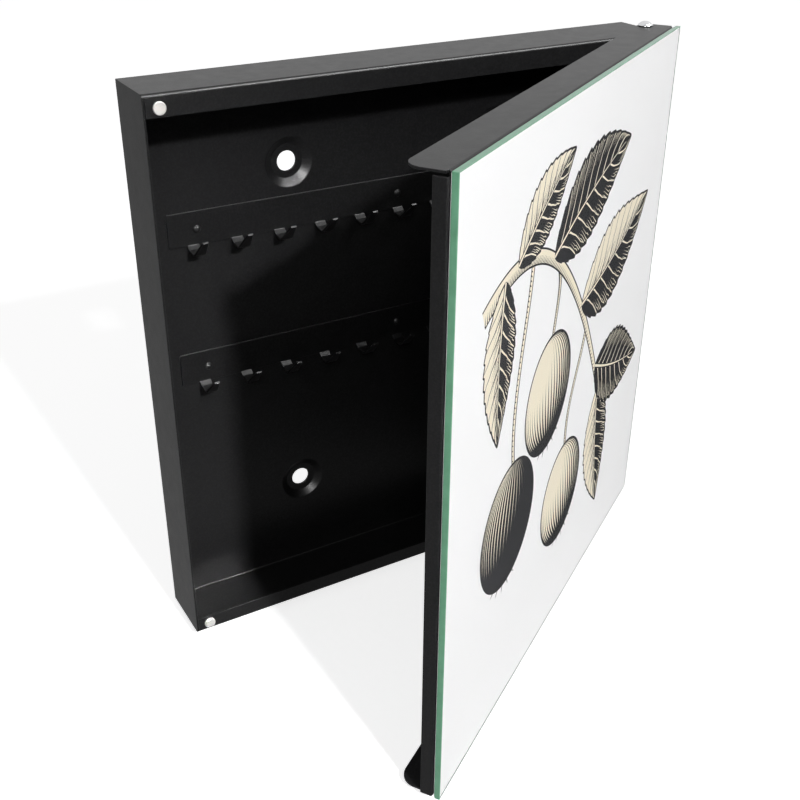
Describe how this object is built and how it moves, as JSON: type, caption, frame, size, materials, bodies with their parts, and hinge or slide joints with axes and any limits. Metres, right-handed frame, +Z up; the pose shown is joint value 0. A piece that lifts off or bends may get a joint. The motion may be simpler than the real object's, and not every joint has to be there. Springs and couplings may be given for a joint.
{
  "type": "wall key box",
  "caption": "Wall key box: shallow folded steel case with hook rails, and a glass fronted lid that swings on pivot pins and closes on magnets.",
  "frame": {"origin": "middle of the four wall holes, on the wall plane against which the dimples rest", "axes": "+X to the right seen from the front, +Y into the wall, +Z up; the lid opens towards -Y"},
  "size_m": [0.3061, 0.204, 0.3047],
  "materials": {
    "black_powder_coat": "satin black powder coat with a fine texture",
    "black_rivet": "black lacquered steel rivet",
    "nickel_magnet": "nickel plated disc magnet",
    "zinc_pin": "bright zinc plated turned steel",
    "black_washer": "black nylon washer",
    "clear_glass": "polished float glass with green edges",
    "printed_film": "white film with a print in black and cream",
    "foam_tape": "black closed-cell foam tape"
  },
  "bodies": {
    "case_body": {"case": "black_powder_coat", "upper_key_rail": "black_powder_coat", "lower_key_rail": "black_powder_coat", "upper_rail_rivets": "black_rivet", "lower_rail_rivets": "black_rivet", "top_catch_magnet": "nickel_magnet", "bottom_catch_magnet": "nickel_magnet", "top_hinge_pin": "zinc_pin", "bottom_hinge_pin": "zinc_pin", "top_spacer_washer": "black_washer", "bottom_spacer_washer": "black_washer", "top_head_washer": "black_washer", "bottom_head_washer": "black_washer"},
    "lid": {"lid_tray": "black_powder_coat", "tape_top": "foam_tape", "tape_bottom": "foam_tape", "tape_left": "foam_tape", "tape_right": "foam_tape", "picture_film": "printed_film", "glass_front": "clear_glass"}
  },
  "joints": [
    {"name": "lid_hinge", "type": "hinge", "parent": "case_body", "child": "lid", "pos_m": [0.1435, -0.0283, 0], "axis": [0, 0, 1], "range_deg": [-33.3, 76.7]}
  ]
}
